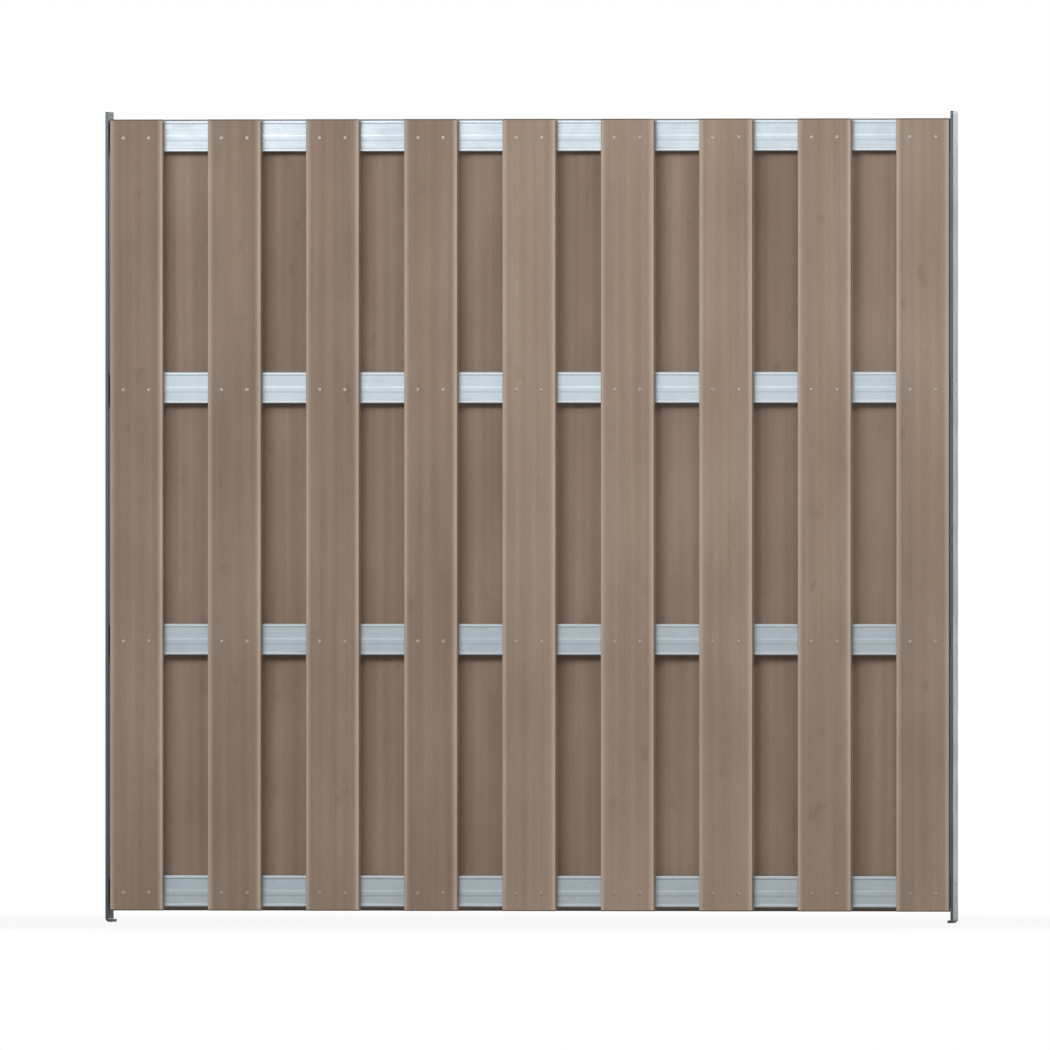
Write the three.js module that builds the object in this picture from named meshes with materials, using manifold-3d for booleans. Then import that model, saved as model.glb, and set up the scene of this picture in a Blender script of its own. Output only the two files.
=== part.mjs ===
// A garden privacy screen: two layers of upright composite boards on four aluminium rails,
// closed at each end by a flat bar that is longer than the boards and ends in a small foot.
// Millimetres. X runs along the screen, Y from its front to its back and Z up.
// The origin is on the ground, midway between the two ends.
import * as THREE from "three";
import { mergeVertices } from "three/addons/utils/BufferGeometryUtils.js";
import Module from "manifold-3d";

// ---- Driving dimensions ----

const SCREEN_WIDTH = 1800; // over the outer faces of the two side bars
const SCREEN_HEIGHT = 1700; // length of a side bar, from its foot to its top

const FRONT_BOARDS = 9;
const BOARD_LENGTH = 1660;
const BOARD_WIDTH = 113;
const BOARD_THICKNESS = 20;
const BOARD_BOTTOM = 24; // the boards end this high above the ground
const EDGE_CHAMFER_WIDTH = 6.5; // long edges, measured across the face
const EDGE_CHAMFER_DEPTH = 3.5; // and down the side
const BOARD_END_BEVEL = 1; // the sawn ends are lightly broken
const CHAMBERS = 4; // hollows that run along a board
const CHAMBER_WIDTH = 22;
const CHAMBER_DEPTH = 11;
const CHAMBER_CORNER = 3;
const CHAMBER_WEB = 5; // solid web between two chambers, where the board screws go

const RAIL_NAMES = ["bottom_rail", "lower_rail", "upper_rail", "top_rail"];
const RAIL_HEIGHT = 66;
const RAIL_DEPTH = 25;
const RAIL_WALL = 2.2;
const RAIL_CORNER_RADIUS = 2;
const RAIL_CORNER_STEPS = 2;
const BOARD_ABOVE_TOP_RAIL = 2;
const BOARD_BELOW_BOTTOM_RAIL = 8;
const LIP_HEIGHT = 8; // flat lip along each long edge of a rail, which the boards bear on
const LIP_STEP = 0.35; // the face between the lips lies this much deeper
const LIP_SLOPE = 3; // height that the step takes
const GUIDE_HEIGHT = 29; // low bead that marks the line of the board screws
const GUIDE_WIDTH = 14;
const GUIDE_RISE = 0.15;
const WEB_OFFSET = 15; // inner webs and their screw ports, above and below mid-height
const WEB_THICKNESS = 2;
const PORT_RADIUS = 2.4;
const PORT_WALL_RADIUS = 4.6;

const BAR_THICKNESS = 6;
const BAR_DEPTH = 68;
const BAR_TO_BOARD = 2.5; // clear slot between an end board and its side bar
const BAR_CORNER_RADIUS = 4;
const CORNER_STEPS = 4;
const FOOT_LENGTH = 13;
const FOOT_BEND_RADIUS = 8; // outside of the bend

const SCREW_SHANK_RADIUS = 2;
const SCREW_LENGTH = 24;
const SCREW_TIP_LENGTH = 3;
const SCREW_TIP_RADIUS = 0.7;
const SCREW_HEAD_RADIUS = 4.5; // countersunk at 45 degrees
const SCREW_HEAD_SINK = 0.1; // below the face of the bar
const SCREW_CLEARANCE = 0.35; // round the head
const SHANK_CLEARANCE = 0.75; // round the shank
const ROUND_SIDES = 12;

// ---- Places worked out from them ----

const BACK_BOARDS = FRONT_BOARDS - 1;
const BOARDS_SPAN = SCREEN_WIDTH - 2 * (BAR_THICKNESS + BAR_TO_BOARD);
const BOARD_PITCH = (BOARDS_SPAN - BOARD_WIDTH) / (FRONT_BOARDS - 1);
const BOARD_MIDDLE = (RAIL_DEPTH + BOARD_THICKNESS) / 2; // from the middle of the rails
const RAIL_LENGTH = SCREEN_WIDTH - 2 * BAR_THICKNESS;
const LOWEST_RAIL = BOARD_BOTTOM + BOARD_BELOW_BOTTOM_RAIL + RAIL_HEIGHT / 2;
const HIGHEST_RAIL = BOARD_BOTTOM + BOARD_LENGTH - BOARD_ABOVE_TOP_RAIL - RAIL_HEIGHT / 2;
const RAIL_PITCH = (HIGHEST_RAIL - LOWEST_RAIL) / (RAIL_NAMES.length - 1);
const railMiddle = (i) => LOWEST_RAIL + i * RAIL_PITCH;

// ---- Materials ----

const compositeBrown = () =>
  new THREE.MeshStandardMaterial({ color: 0x8c7a6b, roughness: 0.75, metalness: 0 });
const railAluminium = () =>
  new THREE.MeshStandardMaterial({ color: 0xc4ccd2, roughness: 0.45, metalness: 1 });
const barAluminium = () =>
  new THREE.MeshStandardMaterial({ color: 0xa6aeb5, roughness: 0.4, metalness: 1 });
const screwSteel = () =>
  new THREE.MeshStandardMaterial({ color: 0xb9b7b2, roughness: 0.35, metalness: 1 });

// ---- Cutting ----

const wasm = await Module();
wasm.setup();

function solidFrom(geometry) {
  const bare = geometry.clone();
  bare.deleteAttribute("normal");
  bare.deleteAttribute("uv");
  const merged = mergeVertices(bare, 1e-4);
  return new wasm.Manifold(
    new wasm.Mesh({
      numProp: 3,
      vertProperties: merged.attributes.position.array,
      triVerts: new Uint32Array(merged.index.array),
    }),
  );
}

function geometryFrom(solid) {
  const mesh = solid.getMesh();
  const shared = new THREE.BufferGeometry();
  shared.setAttribute("position", new THREE.BufferAttribute(mesh.vertProperties, 3));
  shared.setIndex(new THREE.BufferAttribute(mesh.triVerts, 1));
  const faceted = shared.toNonIndexed();
  faceted.computeVertexNormals();
  return faceted;
}

// ---- Outlines and how they are laid ----

const AXIS_X = new THREE.Vector3(1, 0, 0);
const AXIS_Y = new THREE.Vector3(0, 1, 0);
const AXIS_Z = new THREE.Vector3(0, 0, 1);
const alongX = new THREE.Matrix4().makeBasis(AXIS_Y, AXIS_Z, AXIS_X); // outline in Y and Z
const alongY = new THREE.Matrix4().makeBasis(AXIS_Z, AXIS_X, AXIS_Y); // outline in Z and X

// Points of a rectangle about (x, y) whose corners are round.
function roundRectangle(x, y, width, height, radius, steps) {
  const corners = [[1, -1], [1, 1], [-1, 1], [-1, -1]];
  return corners.flatMap(([sideX, sideY], quarter) =>
    Array.from({ length: steps + 1 }, (_, step) => {
      const angle = (quarter - 1 + step / steps) * (Math.PI / 2);
      return new THREE.Vector2(
        x + sideX * (width / 2 - radius) + radius * Math.cos(angle),
        y + sideY * (height / 2 - radius) + radius * Math.sin(angle),
      );
    }),
  );
}

// Points of a rectangle about (x, y) whose corners are cut off straight.
function cutRectangle(x, y, width, height, cutX, cutY) {
  const corners = [[1, -1], [1, 1], [-1, 1], [-1, -1]];
  return corners.flatMap(([sideX, sideY]) => {
    const onFace = new THREE.Vector2(
      x + sideX * (width / 2 - cutX),
      y + (sideY * height) / 2,
    );
    const onSide = new THREE.Vector2(
      x + (sideX * width) / 2,
      y + sideY * (height / 2 - cutY),
    );
    return sideX * sideY < 0 ? [onFace, onSide] : [onSide, onFace];
  });
}

function plainExtrusion(shape, depth, curveSegments = 1) {
  return new THREE.ExtrudeGeometry(shape, { depth, curveSegments, bevelEnabled: false });
}

// ---- Boards ----

// Section of a board, seen from above: chamfered long edges and a row of chambers.
function boardSection() {
  const section = new THREE.Shape(
    cutRectangle(0, 0, BOARD_WIDTH, BOARD_THICKNESS, EDGE_CHAMFER_WIDTH, EDGE_CHAMFER_DEPTH),
  );
  const chamberPitch = CHAMBER_WIDTH + CHAMBER_WEB;
  for (let i = 0; i < CHAMBERS; i++) {
    const middle = (i - (CHAMBERS - 1) / 2) * chamberPitch;
    const outline = cutRectangle(
      middle, 0, CHAMBER_WIDTH, CHAMBER_DEPTH, CHAMBER_CORNER, CHAMBER_CORNER,
    );
    section.holes.push(new THREE.Path(outline));
  }
  return section;
}

function boardGeometry() {
  const geometry = new THREE.ExtrudeGeometry(boardSection(), {
    depth: BOARD_LENGTH - 2 * BOARD_END_BEVEL,
    bevelThickness: BOARD_END_BEVEL,
    bevelSize: BOARD_END_BEVEL,
    bevelOffset: -BOARD_END_BEVEL,
    bevelSegments: 1,
  });
  return geometry.translate(0, 0, BOARD_END_BEVEL);
}

// One layer of boards, evenly spaced about the middle of the screen.
function boardLayer(namePrefix, count, y) {
  const layer = new THREE.Group();
  const geometry = boardGeometry();
  for (let i = 0; i < count; i++) {
    const board = new THREE.Mesh(geometry, compositeBrown());
    board.name = `${namePrefix}_${i + 1}`;
    board.position.set((i - (count - 1) / 2) * BOARD_PITCH, 0, 0);
    layer.add(board);
  }
  layer.position.set(0, y, BOARD_BOTTOM);
  return layer;
}

// ---- Rails ----

// The front half of a rail's outline, upwards, as [distance from mid-depth, height].
function railHalfOutline() {
  const face = RAIL_DEPTH / 2;
  const recess = face - LIP_STEP;
  const guide = recess + GUIDE_RISE;
  const edge = RAIL_HEIGHT / 2;
  const guideMiddle = GUIDE_HEIGHT - edge;
  const corner = (startQuarter, sign) =>
    Array.from({ length: RAIL_CORNER_STEPS + 1 }, (_, step) => {
      const angle = (startQuarter + step / RAIL_CORNER_STEPS) * (Math.PI / 2);
      return [
        face - RAIL_CORNER_RADIUS * (1 - Math.cos(angle)),
        sign * (edge - RAIL_CORNER_RADIUS) + RAIL_CORNER_RADIUS * Math.sin(angle),
      ];
    });
  return [
    ...corner(-1, -1),
    [face, LIP_HEIGHT - LIP_SLOPE - edge],
    [recess, LIP_HEIGHT - edge],
    [recess, guideMiddle - GUIDE_WIDTH / 2],
    [guide, guideMiddle - GUIDE_WIDTH / 4],
    [guide, guideMiddle + GUIDE_WIDTH / 4],
    [recess, guideMiddle + GUIDE_WIDTH / 2],
    [recess, edge - LIP_HEIGHT],
    [face, edge - LIP_HEIGHT + LIP_SLOPE],
    ...corner(0, 1),
  ];
}

// A chamber of the rail. Where a web closes it, the wall of that web's screw port bulges into
// it as part of a circle. webBelow and webAbove are the heights of those webs, or null.
function railChamber(low, high, webBelow, webAbove) {
  const side = RAIL_DEPTH / 2 - LIP_STEP - RAIL_WALL;
  const rootAngle = Math.asin(WEB_THICKNESS / 2 / PORT_WALL_RADIUS);
  const chamber = new THREE.Path();
  chamber.moveTo(-side, low);
  if (webBelow !== null)
    chamber.absarc(0, webBelow, PORT_WALL_RADIUS, Math.PI - rootAngle, rootAngle, true);
  chamber.lineTo(side, low);
  chamber.lineTo(side, high);
  if (webAbove !== null)
    chamber.absarc(0, webAbove, PORT_WALL_RADIUS, -rootAngle, rootAngle - Math.PI, true);
  chamber.lineTo(-side, high);
  return chamber;
}

// Section of a rail: lips, recessed faces with a guide bead, three chambers and two screw ports.
function railSection() {
  const half = railHalfOutline();
  const front = half.map(([out, height]) => new THREE.Vector2(out, height));
  const back = half.map(([out, height]) => new THREE.Vector2(-out, height)).reverse();
  const section = new THREE.Shape([...front, ...back]);
  const inside = RAIL_HEIGHT / 2 - RAIL_WALL;
  const webHalf = WEB_THICKNESS / 2;
  section.holes.push(
    railChamber(-inside, -WEB_OFFSET - webHalf, null, -WEB_OFFSET),
    railChamber(-WEB_OFFSET + webHalf, WEB_OFFSET - webHalf, -WEB_OFFSET, WEB_OFFSET),
    railChamber(WEB_OFFSET + webHalf, inside, WEB_OFFSET, null),
  );
  for (const height of [-WEB_OFFSET, WEB_OFFSET])
    section.holes.push(new THREE.Path().absarc(0, height, PORT_RADIUS, 0, 2 * Math.PI));
  return section;
}

function rails() {
  const group = new THREE.Group();
  const geometry = plainExtrusion(railSection(), RAIL_LENGTH, ROUND_SIDES / 3)
    .translate(0, 0, -RAIL_LENGTH / 2)
    .applyMatrix4(alongX);
  RAIL_NAMES.forEach((name, i) => {
    const rail = new THREE.Mesh(geometry, railAluminium());
    rail.name = name;
    rail.position.z = railMiddle(i);
    group.add(rail);
  });
  return group;
}

// ---- Side bars ----

// Profile of the bar at the right end, in height and distance from the middle of the screen:
// a flat strip whose lower end turns inwards as a foot.
function barProfile() {
  const outer = SCREEN_WIDTH / 2;
  const inner = outer - BAR_THICKNESS;
  const bend = outer - FOOT_BEND_RADIUS;
  const toe = outer - FOOT_LENGTH;
  const profile = new THREE.Shape();
  profile.moveTo(SCREEN_HEIGHT, inner);
  profile.lineTo(SCREEN_HEIGHT, outer);
  profile.lineTo(FOOT_BEND_RADIUS, outer);
  profile.absarc(FOOT_BEND_RADIUS, bend, FOOT_BEND_RADIUS, Math.PI / 2, Math.PI);
  profile.lineTo(0, toe);
  profile.lineTo(BAR_THICKNESS, toe);
  profile.lineTo(BAR_THICKNESS, bend);
  profile.absarc(
    FOOT_BEND_RADIUS, bend, FOOT_BEND_RADIUS - BAR_THICKNESS, Math.PI, Math.PI / 2, true,
  );
  return profile;
}

// Rounds the two top corners of the bar.
function topCorners() {
  const height = SCREEN_HEIGHT + 2 * BAR_CORNER_RADIUS;
  const middle = SCREEN_HEIGHT - height / 2;
  const outline = new THREE.Shape(
    roundRectangle(0, middle, BAR_DEPTH, height, BAR_CORNER_RADIUS, CORNER_STEPS),
  );
  return solidFrom(plainExtrusion(outline, SCREEN_WIDTH).applyMatrix4(alongX));
}

// Rounds the two corners of the toe.
function toeCorners() {
  const width = FOOT_LENGTH + 2 * BAR_CORNER_RADIUS;
  const middle = SCREEN_WIDTH / 2 - FOOT_LENGTH + width / 2;
  const outline = new THREE.Shape(
    roundRectangle(middle, 0, width, BAR_DEPTH, BAR_CORNER_RADIUS, CORNER_STEPS),
  );
  return solidFrom(plainExtrusion(outline, SCREEN_HEIGHT));
}

// A countersunk hole through the bar, turned about Y with its mouth at the origin.
function countersink() {
  const mouth = SCREW_HEAD_RADIUS + SCREW_CLEARANCE;
  const bore = SCREW_SHANK_RADIUS + SHANK_CLEARANCE;
  const past = 1; // beyond the bar on both sides
  const profile = [
    new THREE.Vector2(0, -BAR_THICKNESS - past),
    new THREE.Vector2(bore, -BAR_THICKNESS - past),
    new THREE.Vector2(bore, bore - mouth),
    new THREE.Vector2(mouth + past, past),
    new THREE.Vector2(0, past),
  ];
  return new THREE.LatheGeometry(profile, ROUND_SIDES).rotateZ(-Math.PI / 2);
}

function barGeometry() {
  const strip = plainExtrusion(barProfile(), BAR_DEPTH, 2)
    .translate(0, 0, -BAR_DEPTH / 2)
    .applyMatrix4(alongY);
  let bar = solidFrom(strip).intersect(topCorners()).intersect(toeCorners());
  const hole = solidFrom(countersink());
  RAIL_NAMES.forEach((_, i) => {
    for (const side of [-1, 1])
      bar = bar.subtract(hole.translate(SCREEN_WIDTH / 2, 0, railMiddle(i) + side * WEB_OFFSET));
  });
  return geometryFrom(bar);
}

// ---- End screws ----

// A countersunk screw, turned about Y with the face of the bar at the origin.
function endScrewGeometry() {
  const headTop = -SCREW_HEAD_SINK;
  const neck = headTop - (SCREW_HEAD_RADIUS - SCREW_SHANK_RADIUS);
  const profile = [
    new THREE.Vector2(0, -SCREW_LENGTH),
    new THREE.Vector2(SCREW_TIP_RADIUS, -SCREW_LENGTH),
    new THREE.Vector2(SCREW_SHANK_RADIUS, SCREW_TIP_LENGTH - SCREW_LENGTH),
    new THREE.Vector2(SCREW_SHANK_RADIUS, neck),
    new THREE.Vector2(SCREW_HEAD_RADIUS, headTop),
    new THREE.Vector2(0, headTop),
  ];
  return new THREE.LatheGeometry(profile, ROUND_SIDES).rotateZ(-Math.PI / 2);
}

// A side bar with the two screws that hold it to each rail, at the right end of the screen.
function screenEnd(side) {
  const end = new THREE.Group();
  const bar = new THREE.Mesh(barGeometry(), barAluminium());
  bar.name = `${side}_side_bar`;
  end.add(bar);
  const geometry = endScrewGeometry();
  RAIL_NAMES.forEach((railName, i) => {
    for (const [place, offset] of [["lower", -WEB_OFFSET], ["upper", WEB_OFFSET]]) {
      const screw = new THREE.Mesh(geometry, screwSteel());
      screw.name = `${side}_${railName}_${place}_screw`;
      screw.position.set(SCREEN_WIDTH / 2, 0, railMiddle(i) + offset);
      end.add(screw);
    }
  });
  return end;
}

// ---- The whole screen ----

const screen = new THREE.Group();
screen.add(boardLayer("front_board", FRONT_BOARDS, -BOARD_MIDDLE));
screen.add(boardLayer("back_board", BACK_BOARDS, BOARD_MIDDLE));
screen.add(rails());
const rightEnd = screenEnd("right");
const leftEnd = screenEnd("left");
leftEnd.rotation.z = Math.PI;
screen.add(rightEnd, leftEnd);

export default screen;
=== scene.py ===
import math
import random
import bmesh
import bpy
from mathutils import Matrix, Vector


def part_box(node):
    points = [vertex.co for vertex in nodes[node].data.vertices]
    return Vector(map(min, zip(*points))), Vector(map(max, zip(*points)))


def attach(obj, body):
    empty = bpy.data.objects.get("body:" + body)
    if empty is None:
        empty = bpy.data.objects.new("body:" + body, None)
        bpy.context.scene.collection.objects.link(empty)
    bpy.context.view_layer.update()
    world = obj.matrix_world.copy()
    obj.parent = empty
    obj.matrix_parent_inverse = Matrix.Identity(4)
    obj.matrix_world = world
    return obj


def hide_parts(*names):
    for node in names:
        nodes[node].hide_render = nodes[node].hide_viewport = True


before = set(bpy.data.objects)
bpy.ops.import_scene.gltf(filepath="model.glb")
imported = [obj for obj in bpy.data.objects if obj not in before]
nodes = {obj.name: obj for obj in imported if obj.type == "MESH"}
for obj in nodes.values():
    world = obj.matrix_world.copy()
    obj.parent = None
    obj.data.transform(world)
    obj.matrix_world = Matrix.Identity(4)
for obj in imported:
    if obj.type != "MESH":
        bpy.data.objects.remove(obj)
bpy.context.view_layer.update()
scene = bpy.context.scene
mm = 0.001
mergeGap = 0.01 * mm         # points closer than this are one
flatWithin = math.radians(1)  # faces that turn less than this are one
frontBoards = sorted(name for name in nodes if name.startswith("front_board_"))
backBoards = sorted(name for name in nodes if name.startswith("back_board_"))
boardNames = frontBoards + backBoards
railNames = [name + "_rail" for name in ("bottom", "lower", "upper", "top")]
barNames = ["left_side_bar", "right_side_bar"]
endScrewNames = sorted(name for name in nodes if name.endswith("_screw"))
print("frame loaded:", len(nodes), "solids")


# sRGB hex to the linear colour that a shader wants
def linear(hexCode):
    parts = [int(hexCode[i:i + 2], 16) / 255 for i in (0, 2, 4)]
    return [p / 12.92 if p <= 0.04045 else ((p + 0.055) / 1.055) ** 2.4 for p in parts] + [1.0]


# adds a node; settings are its own properties, inputs are values or the sockets linked to it
def add(tree, kind, settings=None, **inputs):
    made = tree.nodes.new("ShaderNode" + kind)
    for name, value in (settings or {}).items():
        setattr(made, name, value)
    for name, value in inputs.items():
        entry = made.inputs[int(name[1:]) if name[0] == "_" else name.replace("_", " ")]
        if isinstance(value, bpy.types.NodeSocket):
            tree.links.new(value, entry)
        else:
            entry.default_value = value
    return made


def newFinish(name):
    finish = bpy.data.materials.new(name)
    finish.use_nodes = True
    finish.node_tree.nodes.clear()
    return finish, finish.node_tree


composite = {
    "mid": "8C7868",            # planed face
    "dark": "736050",           # darker run of the extrusion
    "light": "A39080",          # paler run
    "edge": "BBA897",           # chamfers, painted highlight
    "sawn": "4F4236",           # cut ends, and a darker band beside them
    "soaked": 3.5,              # mm from a cut end over which the board darkens
    "soakedThrough": 1.05,      # mm from a cut end that are darkened fully

    # noises: mm wide, times as long as wide, detail, roughness
    "streak": (16, 60, 2.0, 0.45),    # broad streaks that run the whole board
    "brush": (2.4, 90, 2.0, 0.6),     # brush lines; real ones are 0.6 mm, too fine to show
    "fleck": (3.0, 7, 1.0, 0.5),      # wood flour flecks, drawn coarser than the real 1 mm
    "blotch": (150, 2.2, 3.0, 0.55),  # weather blotches
    "smudge": (45, 1.6, 2.0, 0.6),    # the odd dark smudge from handling

    # how far each one shifts the tone in all, where 1 is all the way from dark to light
    "streakShift": 0.32,
    "brushShift": 0.12,
    "fleckShift": 0.10,
    "blotchShift": 0.36,
    "boardShift": 0.26,         # from board to board
    "smudgeShift": 0.24,
    "noiseSpan": (0.25, 0.75),  # nearly all of a noise lies between these
    "smudgeSpan": (0.66, 0.80),  # only its rare peaks are smudges
    "lot": 31734,               # picks the run of shades from board to board

    "chamferTurn": (0.10, 0.44),  # how far a chamfer faces sideways, at its start and in full
    "sideTurn": (0.75, 0.97),   # the same for the sides of the board, which get no painted highlight
    "chamferStart": 50,         # mm from the middle of a board
    "highlightWidth": 7.0,            # mm of the face beside a chamfer over which the painted highlight dies away
    "faceHighlight": 0.4,          # how strong the painted highlight is on the face next to the chamfer
    "leastHighlight": 0.72,        # how strong the painted highlight on a chamfer is where it is least so
    "roughness": 0.72,
    "roughnessShift": 0.08,     # more or less, with the brush lines
    "highlightAndRoughnessSpan": (0.3, 0.7),     # of the noises that the painted highlight and roughness follow
    "brushDepth": 0.12,         # mm
    "fleckDepth": 0.35,         # as a share of the brush lines'
    "ior": 1.48,
}


# wood-plastic composite, extruded and brushed lengthwise: warm grey-brown, matt, faint long
# streaks and flecks, each board a shade apart, and a painted highlight on the chamfers and the
# face beside them
def brushedComposite():
    finish, tree = newFinish("composite_extruded_brushed")
    look = composite
    place = add(tree, "TexCoord")
    here = place.outputs["Object"]
    axes = add(tree, "SeparateXYZ", Vector=place.outputs["Normal"])
    spot = add(tree, "SeparateXYZ", Vector=here)

    noise = {}
    for kind in ("streak", "brush", "fleck", "blotch", "smudge"):
        width, stretch, detail, roughness = look[kind]
        density = 1 / (width * mm)
        along = add(tree, "Mapping", Vector=here, Scale=(density, density, density / stretch))
        noise[kind] = add(tree, "TexNoise", Vector=along.outputs[0], Scale=1.0, Detail=detail,
                          Roughness=roughness).outputs["Fac"]

    # a whole number for each board from its place, and a random shade from that
    halfPitch = (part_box("front_board_2")[0].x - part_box("front_board_1")[0].x) / 2
    number = add(tree, "Math", {"operation": "DIVIDE"}, _0=spot.outputs["X"], _1=halfPitch)
    whole = add(tree, "Math", {"operation": "ROUND"}, _0=number.outputs[0])
    drawn = add(tree, "Math", {"operation": "ADD"}, _0=whole.outputs[0], _1=look["lot"])
    board = add(tree, "TexWhiteNoise", {"noise_dimensions": "1D"}, W=drawn.outputs[0])

    # all the variation as one number about 0.5
    usual = look["noiseSpan"]
    tone = add(tree, "MapRange", Value=noise["streak"], From_Min=usual[0], From_Max=usual[1],
               To_Min=0.5 - look["streakShift"] / 2, To_Max=0.5 + look["streakShift"] / 2)
    shifts = [(noise[kind], usual, -look[kind + "Shift"] / 2, look[kind + "Shift"] / 2)
              for kind in ("brush", "fleck", "blotch")]
    shifts += [(board.outputs[0], (0.0, 1.0), -look["boardShift"] / 2, look["boardShift"] / 2),
               (noise["smudge"], look["smudgeSpan"], 0.0, -look["smudgeShift"])]
    for source, span, least, most in shifts:
        shift = add(tree, "MapRange", Value=source, From_Min=span[0], From_Max=span[1],
                    To_Min=least, To_Max=most)
        tone = add(tree, "Math", {"operation": "ADD"}, _0=tone.outputs[0], _1=shift.outputs[0])

    ramp = add(tree, "ValToRGB", Fac=tone.outputs[0])
    ends = ramp.color_ramp.elements
    ends[0].color, ends[1].color = linear(look["dark"]), linear(look["light"])
    ends.new(0.5).color = linear(look["mid"])

    # chamfers face partly sideways, and the sides of the board wholly
    sideways = add(tree, "Math", {"operation": "ABSOLUTE"}, _0=axes.outputs["X"])
    chamfer = add(tree, "MapRange", {"interpolation_type": "SMOOTHSTEP"},
                  Value=sideways.outputs[0], From_Min=look["chamferTurn"][0],
                  From_Max=look["chamferTurn"][1])
    aside = add(tree, "Math", {"operation": "SUBTRACT"}, _0=number.outputs[0],
                _1=whole.outputs[0])
    fromMiddle = add(tree, "Math", {"operation": "ABSOLUTE"}, _0=aside.outputs[0])
    beside = add(tree, "MapRange", {"interpolation_type": "SMOOTHSTEP"},
                 Value=fromMiddle.outputs[0],
                 From_Min=(look["chamferStart"] - look["highlightWidth"]) * mm / halfPitch,
                 From_Max=look["chamferStart"] * mm / halfPitch, To_Max=look["faceHighlight"])

    # of the faces, only those that look out of the screen get the painted highlight beside their
    # chamfers
    outwards = add(tree, "Math", {"operation": "MULTIPLY"}, _0=spot.outputs["Y"],
                   _1=axes.outputs["Y"])
    outside = add(tree, "Math", {"operation": "GREATER_THAN"}, _0=outwards.outputs[0], _1=0.0)
    outsideHighlight = add(tree, "Math", {"operation": "MULTIPLY"}, _0=beside.outputs[0],
                  _1=outside.outputs[0])
    both = add(tree, "Math", {"operation": "MAXIMUM"}, _0=chamfer.outputs[0],
               _1=outsideHighlight.outputs[0])
    notSide = add(tree, "MapRange", {"interpolation_type": "SMOOTHSTEP"},
                  Value=sideways.outputs[0], From_Min=look["sideTurn"][0],
                  From_Max=look["sideTurn"][1], To_Min=1.0, To_Max=0.0)
    chamferHighlightMask = add(tree, "Math", {"operation": "MULTIPLY"}, _0=both.outputs[0],
                 _1=notSide.outputs[0])
    unevenHighlight = add(tree, "MapRange", Value=noise["blotch"], From_Min=look["highlightAndRoughnessSpan"][0],
               From_Max=look["highlightAndRoughnessSpan"][1], To_Min=look["leastHighlight"], To_Max=1.0)
    highlightAmount = add(tree, "Math", {"operation": "MULTIPLY"}, _0=chamferHighlightMask.outputs[0], _1=unevenHighlight.outputs[0])
    # painted highlight: the chamfers and the face beside them are lightened towards the edge
    # colour
    face = add(tree, "Mix", {"data_type": "RGBA"}, _0=highlightAmount.outputs[0],
               _6=ramp.outputs["Color"], _7=linear(look["edge"]))

    # a darker band within a few mm of each cut end
    low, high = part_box("front_board_1")
    halfLength = (high.z - low.z) / 2
    fromWaist = add(tree, "Math", {"operation": "SUBTRACT"}, _0=spot.outputs["Z"],
                    _1=(low.z + high.z) / 2)
    reach = add(tree, "Math", {"operation": "ABSOLUTE"}, _0=fromWaist.outputs[0])
    cut = add(tree, "MapRange", {"interpolation_type": "SMOOTHSTEP"}, Value=reach.outputs[0],
              From_Min=halfLength - look["soaked"] * mm,
              From_Max=halfLength - look["soakedThrough"] * mm)
    colour = add(tree, "Mix", {"data_type": "RGBA"}, _0=cut.outputs[0],
                 _6=face.outputs[2], _7=linear(look["sawn"]))

    rough = add(tree, "MapRange", Value=noise["brush"], From_Min=look["highlightAndRoughnessSpan"][0],
                From_Max=look["highlightAndRoughnessSpan"][1], To_Min=look["roughness"] - look["roughnessShift"],
                To_Max=look["roughness"] + look["roughnessShift"])
    grain = add(tree, "Math", {"operation": "MULTIPLY_ADD"}, _0=noise["fleck"],
                _1=look["fleckDepth"], _2=noise["brush"])
    relief = add(tree, "Bump", Height=grain.outputs[0], Strength=1.0,
                 Distance=look["brushDepth"] * mm)
    shader = add(tree, "BsdfPrincipled", Base_Color=colour.outputs[2],
                 Roughness=rough.outputs[0], Normal=relief.outputs[0], IOR=look["ior"])
    add(tree, "OutputMaterial", Surface=shader.outputs[0])
    return finish


aluminium = {
    "rail": "A4AEB3",           # mill finish, faintly blue
    "railDull": "979FA6",       # clouds of oxide
    "lip": "ACB5BA",            # the bearing lips, with a painted highlight
    "lipReach": (12.37, 12.47),  # mm from mid-depth; past these only the lips reach
    "paintedShades": (1.0, 0.85, 0.96, 0.91),  # painted light and shade: one brightness for each rail, from the bottom one up
    "dustAndShade": "939596",           # on the faces that look up, where rain dries, and painted shade on the low ledge
    "dusty": 0.75,              # how much of the shine it takes on a level face
    "levelTurn": (0.6, 0.95),   # how far a level face looks up, at its start and in full
    "ledgeDustAndShade": 0.3,          # how much dust and painted shade the low ledge over the lower lip takes, dimming its highlight
    "ledgeTurn": (0.05, 0.11),  # how far that ledge looks up
    "dustRoughness": 0.45,      # added by full dust
    "dieWidth": 1.6,            # mm, die lines; real ones are about 0.3, too fine to show
    "dieStretch": 120,          # times as long as wide
    "dieShare": 0.45,           # of the die lines in the pattern, next to the clouds
    "dieDepth": 0.02,           # mm
    "cloudWidth": 60,           # mm, oxide clouds
    "toneSpan": (0.36, 0.64),   # of the pattern, from dull to bright
    "roughness": 0.42,
    "roughnessShift": 0.07,     # more where it is dull, less where it is bright
    "roughnessSpan": (0.35, 0.65),
}
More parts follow.
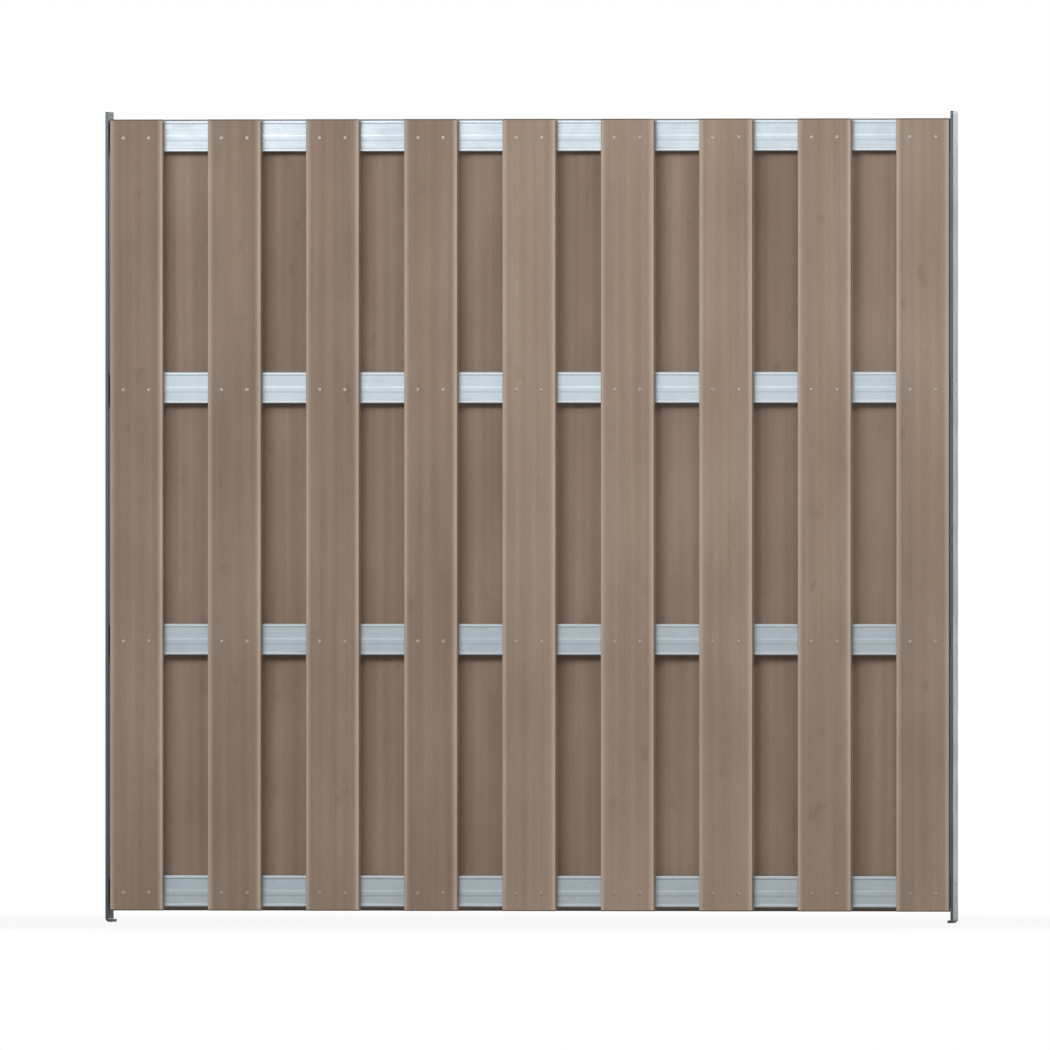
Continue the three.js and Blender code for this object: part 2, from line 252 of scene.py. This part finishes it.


# aluminium extrusion as it left the die: satin, with fine lines along its length and dull clouds,
# matt grey dust on top, a painted highlight on the lips, painted light and shade from rail to
# rail, and painted shade on the low ledge over the lower lip
def millAluminium():
    finish, tree = newFinish("aluminium_extruded_mill")
    look = aluminium
    place = add(tree, "TexCoord")
    here = place.outputs["Object"]
    spot = add(tree, "SeparateXYZ", Vector=here)
    density = 1 / (look["dieWidth"] * mm)
    along = add(tree, "Mapping", Vector=here,
                Scale=(density / look["dieStretch"], density, density))
    lines = add(tree, "TexNoise", Vector=along.outputs[0], Scale=1.0, Detail=3.0, Roughness=0.6)
    cloud = add(tree, "TexNoise", Vector=here, Scale=1 / (look["cloudWidth"] * mm),
                Detail=4.0, Roughness=0.6)
    both = add(tree, "Mix", {"data_type": "FLOAT"}, _0=look["dieShare"],
               _2=cloud.outputs["Fac"], _3=lines.outputs["Fac"])
    tone = add(tree, "MapRange", Value=both.outputs[0], From_Min=look["toneSpan"][0],
               From_Max=look["toneSpan"][1])
    metalFace = add(tree, "Mix", {"data_type": "RGBA"}, _0=tone.outputs[0],
                    _6=linear(look["railDull"]), _7=linear(look["rail"]))
    # painted highlight: past lipReach, the bearing lips take a lighter colour
    depth = add(tree, "Math", {"operation": "ABSOLUTE"}, _0=spot.outputs["Y"])
    lip = add(tree, "MapRange", Value=depth.outputs[0], From_Min=look["lipReach"][0] * mm,
              From_Max=look["lipReach"][1] * mm)
    lipped = add(tree, "Mix", {"data_type": "RGBA"}, _0=lip.outputs[0],
                 _6=metalFace.outputs[2], _7=linear(look["lip"]))

    # the painted light and shade changes midway between one rail and the next
    middles = [(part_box(name)[0].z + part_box(name)[1].z) / 2 for name in railNames]
    height = add(tree, "Math", {"operation": "DIVIDE"}, _0=spot.outputs["Z"], _1=middles[-1])
    railLight = add(tree, "ValToRGB", Fac=height.outputs[0])
    railLight.color_ramp.interpolation = "CONSTANT"
    steps = railLight.color_ramp.elements
    steps.remove(steps[1])
    changes = [0.0] + [(a + b) / 2 / middles[-1] for a, b in zip(middles, middles[1:])]
    for change, value in zip(changes, look["paintedShades"]):
        step = steps.new(change) if change else steps[0]
        step.color = (value, value, value, 1.0)
    railLit = add(tree, "Mix", {"data_type": "RGBA", "blend_type": "MULTIPLY"}, _0=1.0,
                 _6=lipped.outputs[2], _7=railLight.outputs["Color"])

    up = add(tree, "SeparateXYZ", Vector=place.outputs["Normal"]).outputs["Z"]
    level = add(tree, "MapRange", {"interpolation_type": "SMOOTHSTEP"}, Value=up,
                From_Min=look["levelTurn"][0], From_Max=look["levelTurn"][1],
                To_Max=look["dusty"])
    # painted shade: the low ledge over the lower lip is dulled towards the dust colour, dimming
    # its highlight
    ledge = add(tree, "MapRange", Value=up, From_Min=look["ledgeTurn"][0],
                From_Max=look["ledgeTurn"][1], To_Max=look["ledgeDustAndShade"])
    dustAndShade = add(tree, "Math", {"operation": "MAXIMUM"}, _0=level.outputs[0], _1=ledge.outputs[0])
    colour = add(tree, "Mix", {"data_type": "RGBA"}, _0=dustAndShade.outputs[0],
                 _6=railLit.outputs[2], _7=linear(look["dustAndShade"]))
    metal = add(tree, "Math", {"operation": "SUBTRACT"}, _0=1.0, _1=dustAndShade.outputs[0])
    satin = add(tree, "MapRange", Value=both.outputs[0], From_Min=look["roughnessSpan"][0],
                From_Max=look["roughnessSpan"][1],
                To_Min=look["roughness"] + look["roughnessShift"],
                To_Max=look["roughness"] - look["roughnessShift"])
    rough = add(tree, "Math", {"operation": "MULTIPLY_ADD"}, _0=dustAndShade.outputs[0],
                _1=look["dustRoughness"], _2=satin.outputs[0])
    relief = add(tree, "Bump", Height=lines.outputs["Fac"], Strength=1.0,
                 Distance=look["dieDepth"] * mm)
    shader = add(tree, "BsdfPrincipled", Base_Color=colour.outputs[2],
                 Metallic=metal.outputs[0], Roughness=rough.outputs[0],
                 Normal=relief.outputs[0])
    add(tree, "OutputMaterial", Surface=shader.outputs[0])
    return finish


flatBar = {
    "edge": "484E53",           # edges and feet, painted shade
    "edgePale": "555C62",       # where their oxide is thin
    "outer": "868C91",          # outer face, painted highlight
    "outerLeast": 0.8,          # how much of that painted highlight is left in its dull clouds
    "innerShade": "4C4F50",          # inner face, painted shade
    "innerShadeAmount": 0.9,               # how much of the metal it hides
    "innerShadeRoughness": 0.45,     # added by the full painted shade
    "faceTurn": (0.5, 0.95),    # how far a face looks sideways, at its start and in full
    "cloudWidth": 80,           # mm
    "lineWidth": 2.0,           # mm, drawing lines, coarser than the real 0.3
    "lineStretch": 100,         # times as long as wide
    "lineShare": 0.35,          # of the lines in the pattern, next to the clouds
    "lineDepth": 0.012,         # mm
    "toneSpan": (0.38, 0.62),   # of the pattern, from dull to bright
    "roughnessDull": 0.42,
    "roughnessBright": 0.28,
}


# drawn aluminium flat bar with fine drawing lines and soft clouds: satin grey outer face
# lightened by a painted highlight, edges darkened by painted shade, and matt painted shade on the
# inner face
def flatBarPaintedLight():
    finish, tree = newFinish("aluminium_flat_bar_painted_light")
    look = flatBar
    place = add(tree, "TexCoord")
    here = place.outputs["Object"]
    density = 1 / (look["lineWidth"] * mm)
    along = add(tree, "Mapping", Vector=here,
                Scale=(density, density, density / look["lineStretch"]))
    lines = add(tree, "TexNoise", Vector=along.outputs[0], Scale=1.0, Detail=3.0, Roughness=0.6)
    cloud = add(tree, "TexNoise", Vector=here, Scale=1 / (look["cloudWidth"] * mm),
                Detail=5.0, Roughness=0.6)
    both = add(tree, "Mix", {"data_type": "FLOAT"}, _0=look["lineShare"],
               _2=cloud.outputs["Fac"], _3=lines.outputs["Fac"])
    tone = add(tree, "MapRange", Value=both.outputs[0], From_Min=look["toneSpan"][0],
               From_Max=look["toneSpan"][1])
    # painted shade on the edges and feet, a little paler in the clouds
    edgeShade = add(tree, "Mix", {"data_type": "RGBA"}, _0=tone.outputs[0],
                    _6=linear(look["edge"]), _7=linear(look["edgePale"]))

    # 1 on a face that looks away from the boards, -1 on one that looks towards them
    end = add(tree, "Math", {"operation": "SIGN"},
              _0=add(tree, "SeparateXYZ", Vector=here).outputs["X"])
    away = add(tree, "Math", {"operation": "MULTIPLY"}, _0=end.outputs[0],
               _1=add(tree, "SeparateXYZ", Vector=place.outputs["Normal"]).outputs["X"])
    start, full = look["faceTurn"]
    # painted highlight on the outer face, dimmer in the dull clouds
    bright = add(tree, "MapRange", Value=tone.outputs[0], To_Min=look["outerLeast"], To_Max=1.0)
    outer = add(tree, "MapRange", {"interpolation_type": "SMOOTHSTEP"}, Value=away.outputs[0],
                From_Min=start, From_Max=full, To_Max=bright.outputs[0])
    # painted shade on the inner face, which also takes away the metal
    inner = add(tree, "MapRange", {"interpolation_type": "SMOOTHSTEP"}, Value=away.outputs[0],
                From_Min=-start, From_Max=-full, To_Max=look["innerShadeAmount"])
    withOuterHighlight = add(tree, "Mix", {"data_type": "RGBA"}, _0=outer.outputs[0],
                _6=edgeShade.outputs[2], _7=linear(look["outer"]))
    colour = add(tree, "Mix", {"data_type": "RGBA"}, _0=inner.outputs[0],
                 _6=withOuterHighlight.outputs[2], _7=linear(look["innerShade"]))
    metal = add(tree, "Math", {"operation": "SUBTRACT"}, _0=1.0, _1=inner.outputs[0])
    satin = add(tree, "MapRange", Value=tone.outputs[0], To_Min=look["roughnessDull"],
                To_Max=look["roughnessBright"])
    rough = add(tree, "Math", {"operation": "MULTIPLY_ADD"}, _0=inner.outputs[0],
                _1=look["innerShadeRoughness"], _2=satin.outputs[0])
    relief = add(tree, "Bump", Height=lines.outputs["Fac"], Strength=1.0,
                 Distance=look["lineDepth"] * mm)
    shader = add(tree, "BsdfPrincipled", Base_Color=colour.outputs[2],
                 Metallic=metal.outputs[0], Roughness=rough.outputs[0],
                 Normal=relief.outputs[0])
    add(tree, "OutputMaterial", Surface=shader.outputs[0])
    return finish


steel = {
    "bright": "989189",
    "dull": "7E7870",
    "spotWidth": 2.5,           # mm, dulled spots
    "spotSpan": (0.35, 0.65),   # of the noise, from dull to bright
    "roughnessDull": 0.60,
    "roughnessBright": 0.44,
}


# cold-headed stainless screws: warm grey metal, dulled in spots by weather
def weatheredStainless():
    finish, tree = newFinish("stainless_cold_headed")
    look = steel
    here = add(tree, "TexCoord").outputs["Object"]
    spots = add(tree, "TexNoise", Vector=here, Scale=1 / (look["spotWidth"] * mm),
                Detail=3.0, Roughness=0.6)
    tone = add(tree, "MapRange", Value=spots.outputs["Fac"], From_Min=look["spotSpan"][0],
               From_Max=look["spotSpan"][1])
    colour = add(tree, "Mix", {"data_type": "RGBA"}, _0=tone.outputs[0],
                 _6=linear(look["dull"]), _7=linear(look["bright"]))
    rough = add(tree, "MapRange", Value=tone.outputs[0], To_Min=look["roughnessDull"],
                To_Max=look["roughnessBright"])
    shader = add(tree, "BsdfPrincipled", Base_Color=colour.outputs[2], Metallic=1.0,
                 Roughness=rough.outputs[0])
    add(tree, "OutputMaterial", Surface=shader.outputs[0])
    return finish


boardFinish = brushedComposite()
railFinish = millAluminium()
barFinish = flatBarPaintedLight()
screwFinish = weatheredStainless()
print("finishes made")


# the CAD solid's loose triangles, merged into whole faces
def mergedCopy(nodeName):
    shape = bmesh.new()
    shape.from_mesh(nodes[nodeName].data)
    bmesh.ops.remove_doubles(shape, verts=shape.verts, dist=mergeGap)
    bmesh.ops.dissolve_limit(shape, angle_limit=flatWithin, verts=shape.verts,
                             edges=shape.edges)
    return shape


def roundEdges(shape, edges, width, steps):
    bmesh.ops.bevel(shape, geom=edges, offset=width, offset_type="OFFSET", affect="EDGES",
                    segments=steps, profile=0.5, material=-1, clamp_overlap=True)


# a shape becomes a piece that rides on the screen, smooth but for edges over the sharp angle
def finishPiece(shape, name, finish, sharpAngle):
    for face in shape.faces:
        face.smooth = True
    for edge in shape.edges:
        edge.smooth = len(edge.link_faces) == 2 and edge.calc_face_angle() < sharpAngle
    mesh = bpy.data.meshes.new(name)
    shape.to_mesh(mesh)
    shape.free()
    mesh.materials.append(finish)
    piece = bpy.data.objects.new(name, mesh)
    scene.collection.objects.link(piece)
    flats = piece.modifiers.new("flats stay flat", "WEIGHTED_NORMAL")
    flats.keep_sharp = True
    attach(piece, "root")
    return piece


boardShape = {
    "edgeRound": 1.8 * mm,      # softening of the lines of each chamfer
    "edgeSteps": 3,
    "leastRise": 0.1 * mm,      # an edge that rises more than this runs along the board
    "hollowDepth": 6 * mm,      # the chambers lie within this much of mid-thickness
    "sharp": math.radians(32),
}


# a board with its long edges softened as the extrusion leaves them
def softenedBoard(nodeName):
    shape = mergedCopy(nodeName)
    low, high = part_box(nodeName)
    middle = (low.y + high.y) / 2
    longEdges = [e for e in shape.edges
                 if abs(e.verts[0].co.z - e.verts[1].co.z) > boardShape["leastRise"]
                 and all(abs(v.co.y - middle) > boardShape["hollowDepth"] for v in e.verts)]
    roundEdges(shape, longEdges, boardShape["edgeRound"], boardShape["edgeSteps"])
    piece = finishPiece(shape, nodeName + "_softened", boardFinish,
                        boardShape["sharp"])
    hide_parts(nodeName)


for name in boardNames:
    softenedBoard(name)
print("boards softened:", len(boardNames))

for name in railNames:
    nodes[name].material_slots[0].material = railFinish
print("rails finished:", len(railNames))

barShape = {
    "edgeRound": 0.5 * mm,      # the bar's edges are lightly broken
    "edgeSteps": 2,
    "corner": math.radians(40),  # an edge that turns more than this is a corner of the bar
    "sharp": math.radians(50),
}


# a side bar with its corners lightly broken, as a file leaves them
def softenedBar(nodeName):
    shape = mergedCopy(nodeName)
    corners = [e for e in shape.edges
               if len(e.link_faces) == 2 and e.calc_face_angle() > barShape["corner"]]
    roundEdges(shape, corners, barShape["edgeRound"], barShape["edgeSteps"])
    piece = finishPiece(shape, nodeName + "_softened", barFinish,
                        barShape["sharp"])
    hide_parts(nodeName)


for name in barNames:
    softenedBar(name)
print("side bars softened:", len(barNames))

driverSocket = {
    "share": 0.42,              # radius of the lobes, as a share of the flat they are sunk in
    "waist": 0.72,              # radius between the lobes, as a share of the lobes'
    "depth": 0.7 * mm,
    "sharp": math.radians(35),  # for the whole screw
}


# sinks a driver socket into the flat face of a head, with a lobe for every second corner
def sinkSocket(shape, face):
    middle = face.calc_center_median()
    inwards = -face.normal.copy()
    reach = (face.verts[0].co - middle).length
    bmesh.ops.inset_individual(shape, faces=[face],
                               thickness=reach * (1 - driverSocket["share"]),
                               use_even_offset=False)
    for i, corner in enumerate(face.verts):
        if i % 2:
            corner.co = middle + (corner.co - middle) * driverSocket["waist"]
    socketFloor = bmesh.ops.extrude_discrete_faces(shape, faces=[face])["faces"][0]
    bmesh.ops.translate(shape, verts=socketFloor.verts, vec=inwards * driverSocket["depth"])


# an end screw with a driver socket in its head, which is the large face furthest out
def socketedScrew(nodeName):
    shape = mergedCopy(nodeName)
    flat = max(shape.faces, key=lambda f: abs(f.calc_center_median().x) + f.calc_area())
    sinkSocket(shape, flat)
    piece = finishPiece(shape, nodeName + "_socketed", screwFinish,
                        driverSocket["sharp"])
    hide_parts(nodeName)


for name in endScrewNames:
    socketedScrew(name)
print("end screws socketed:", len(endScrewNames))

boardScrew = {
    "sides": 12,                # two for each lobe of the socket
    "rimRadius": 4.2 * mm,
    "topRadius": 3.3 * mm,
    "rimHeight": 0.25 * mm,     # above the face of the board
    "topHeight": 0.9 * mm,
    "sink": 2.0 * mm,           # countersunk into the board
    "neckRadius": 2.0 * mm,
    "fromMiddle": 27 * mm,      # two in a row, over the solid webs of the board
    "guideDrop": 4 * mm,        # the rail's guide bead is this far below its middle
    "turns": 11,                # seed for how far each was turned home
}


# a raised countersunk head that points along +Z, with its underside in the board
def boardScrewHead():
    shape = bmesh.new()
    profile = [(0, -boardScrew["sink"]), (boardScrew["neckRadius"], -boardScrew["sink"]),
               (boardScrew["rimRadius"], 0), (boardScrew["rimRadius"], boardScrew["rimHeight"]),
               (boardScrew["topRadius"], boardScrew["topHeight"]), (0, boardScrew["topHeight"])]
    corners = [shape.verts.new((radius, 0, height)) for radius, height in profile]
    lines = [shape.edges.new(pair) for pair in zip(corners, corners[1:])]
    bmesh.ops.spin(shape, geom=corners + lines, axis=(0, 0, 1), cent=(0, 0, 0),
                   angle=math.tau, steps=boardScrew["sides"], use_merge=True)
    bmesh.ops.remove_doubles(shape, verts=shape.verts, dist=mergeGap)
    bmesh.ops.recalc_face_normals(shape, faces=shape.faces)
    bmesh.ops.dissolve_limit(shape, angle_limit=flatWithin, verts=shape.verts,
                             edges=shape.edges)
    sinkSocket(shape, max(shape.faces, key=lambda f: f.calc_center_median().z))
    head = bpy.data.meshes.new("board_screw_head")
    shape.to_mesh(head)
    shape.free()
    return head


# the screws of one board: two at each rail, heads on the board's outer face
def screwBoard(nodeName, head, turns):
    low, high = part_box(nodeName)
    inFront = low.y < 0
    face = low.y if inFront else high.y
    outwards = Matrix.Rotation(math.radians(90 if inFront else -90), 4, "X")
    shape = bmesh.new()
    for rail in railNames:
        railLow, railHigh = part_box(rail)
        height = (railLow.z + railHigh.z) / 2 - boardScrew["guideDrop"]
        for side in (-1, 1):
            across = (low.x + high.x) / 2 + side * boardScrew["fromMiddle"]
            there = Matrix.Translation((across, face, height))
            turn = Matrix.Rotation(turns.uniform(0, math.tau), 4, "Z")
            already = len(shape.verts)
            shape.from_mesh(head)
            shape.verts.ensure_lookup_table()
            bmesh.ops.transform(shape, matrix=there @ outwards @ turn,
                                verts=shape.verts[already:])
    finishPiece(shape, nodeName + "_screws", screwFinish, driverSocket["sharp"])


head = boardScrewHead()
turns = random.Random(boardScrew["turns"])
for name in boardNames:
    screwBoard(name, head, turns)
print("boards screwed to the rails:", len(boardNames))

floor = {
    "radius": 2.6,
    "sides": 96,
    "colour": "C8C8C6",
    "lift": 0.88,               # share of the floor that the camera sees as plain white
    "fade": (0.45, 0.98),       # shares of the radius between which it thins out
}


# pale matt floor that keeps the shadow and thins out into the white backdrop
def paleFloor():
    finish, tree = newFinish("floor_matt_pale")
    here = add(tree, "TexCoord").outputs["Object"]
    away = add(tree, "VectorMath", {"operation": "LENGTH"}, _0=here)
    fade = add(tree, "MapRange", {"interpolation_type": "SMOOTHSTEP"},
               Value=away.outputs["Value"], From_Min=floor["fade"][0] * floor["radius"],
               From_Max=floor["fade"][1] * floor["radius"])
    path = add(tree, "LightPath")
    lift = add(tree, "Math", {"operation": "MULTIPLY"}, _0=path.outputs["Is Camera Ray"],
               _1=floor["lift"])
    matt = add(tree, "BsdfDiffuse", Color=linear(floor["colour"]))
    white = add(tree, "Emission", Color=(1, 1, 1, 1), Strength=1.0)
    lifted = add(tree, "MixShader", _0=lift.outputs[0], _1=matt.outputs[0], _2=white.outputs[0])
    clear = add(tree, "BsdfTransparent")
    mixed = add(tree, "MixShader", _0=fade.outputs[0], _1=lifted.outputs[0],
                _2=clear.outputs[0])
    add(tree, "OutputMaterial", Surface=mixed.outputs[0])
    shape = bmesh.new()
    bmesh.ops.create_circle(shape, cap_ends=True, segments=floor["sides"],
                            radius=floor["radius"])
    mesh = bpy.data.meshes.new("floor")
    shape.to_mesh(mesh)
    shape.free()
    mesh.materials.append(finish)
    ground = bpy.data.objects.new("floor", mesh)
    scene.collection.objects.link(ground)


backdrop = {
    "fill": "F6F6F6",           # light from all round, as matt surfaces get it
    "fillStrength": 0.18,
}


# white to the camera and in reflections, a calm grey as light on matt surfaces
def whiteBackdrop():
    world = bpy.data.worlds.new("backdrop")
    world.use_nodes = True
    tree = world.node_tree
    tree.nodes.clear()
    path = add(tree, "LightPath")
    seen = path.outputs["Is Camera Ray"]
    for ray in ("Is Glossy Ray", "Is Transmission Ray"):
        either = add(tree, "Math", {"operation": "MAXIMUM"}, _0=seen, _1=path.outputs[ray])
        seen = either.outputs[0]
    fill = add(tree, "Background", Color=linear(backdrop["fill"]),
               Strength=backdrop["fillStrength"])
    white = add(tree, "Background", Color=(1, 1, 1, 1), Strength=1.0)
    mixed = add(tree, "MixShader", _0=seen, _1=fill.outputs[0], _2=white.outputs[0])
    add(tree, "OutputWorld", Surface=mixed.outputs[0])
    scene.world = world


# soft boxes: place and aim in metres, width and height in metres, watts
lamps = {
    "key": ((-2.0, -5.0, 3.3), (0, 0, 1.1), (3.9, 1.4), 201),
    "frontFill": ((2.0, -2.6, 2.9), (0.5, 0, 1.4), (1.8, 1.1), 36),
    "rightFill": ((3.4, -1.5, 1.7), (0.5, 0, 1.1), (1.6, 2.2), 20),
    "leftFill": ((-3.6, -1.1, 1.2), (-0.4, 0, 0.9), (1.4, 2.4), 3),
    "back": ((0.6, 4.2, 2.8), (0, 0, 0.9), (3.0, 2.0), 175),
}


def softLamp(name):
    place, aim, size, watts = lamps[name]
    lamp = bpy.data.lights.new(name, "AREA")
    lamp.shape = "RECTANGLE"
    lamp.size, lamp.size_y = size
    lamp.energy = watts
    holder = bpy.data.objects.new(name, lamp)
    holder.location = place
    towards = Vector(aim) - Vector(place)
    holder.rotation_euler = towards.to_track_quat("-Z", "Y").to_euler()
    holder.visible_camera = False
    scene.collection.objects.link(holder)


paleFloor()
whiteBackdrop()
for name in lamps:
    softLamp(name)
print("studio lit")

camera = {
    "lens": 1400,               # mm; a long lens far away, as the photograph has no perspective
    "sensor": 36,               # mm
    "azimuth": 9.3,             # degrees to the right of square-on
    "elevation": 0.0,
    "aim": (-0.0131, 0.0, 0.833),
    "frameWidth": 2.2008,       # metres across the picture at the screen
    "clip": (1, 200),           # metres, nearest and furthest that it sees
}


def photoCamera():
    data = bpy.data.cameras.new("photo")
    data.sensor_width = camera["sensor"]
    data.lens = camera["lens"]
    data.clip_start, data.clip_end = camera["clip"]
    holder = bpy.data.objects.new("photo", data)
    around, up = math.radians(camera["azimuth"]), math.radians(camera["elevation"])
    back = Vector((math.sin(around) * math.cos(up), -math.cos(around) * math.cos(up),
                   math.sin(up)))
    distance = camera["frameWidth"] * camera["lens"] / camera["sensor"]
    holder.location = Vector(camera["aim"]) + back * distance
    holder.rotation_euler = (-back).to_track_quat("-Z", "Y").to_euler()
    scene.collection.objects.link(holder)
    scene.camera = holder


photoCamera()
scene.view_settings.view_transform = "Standard"
print("camera set")
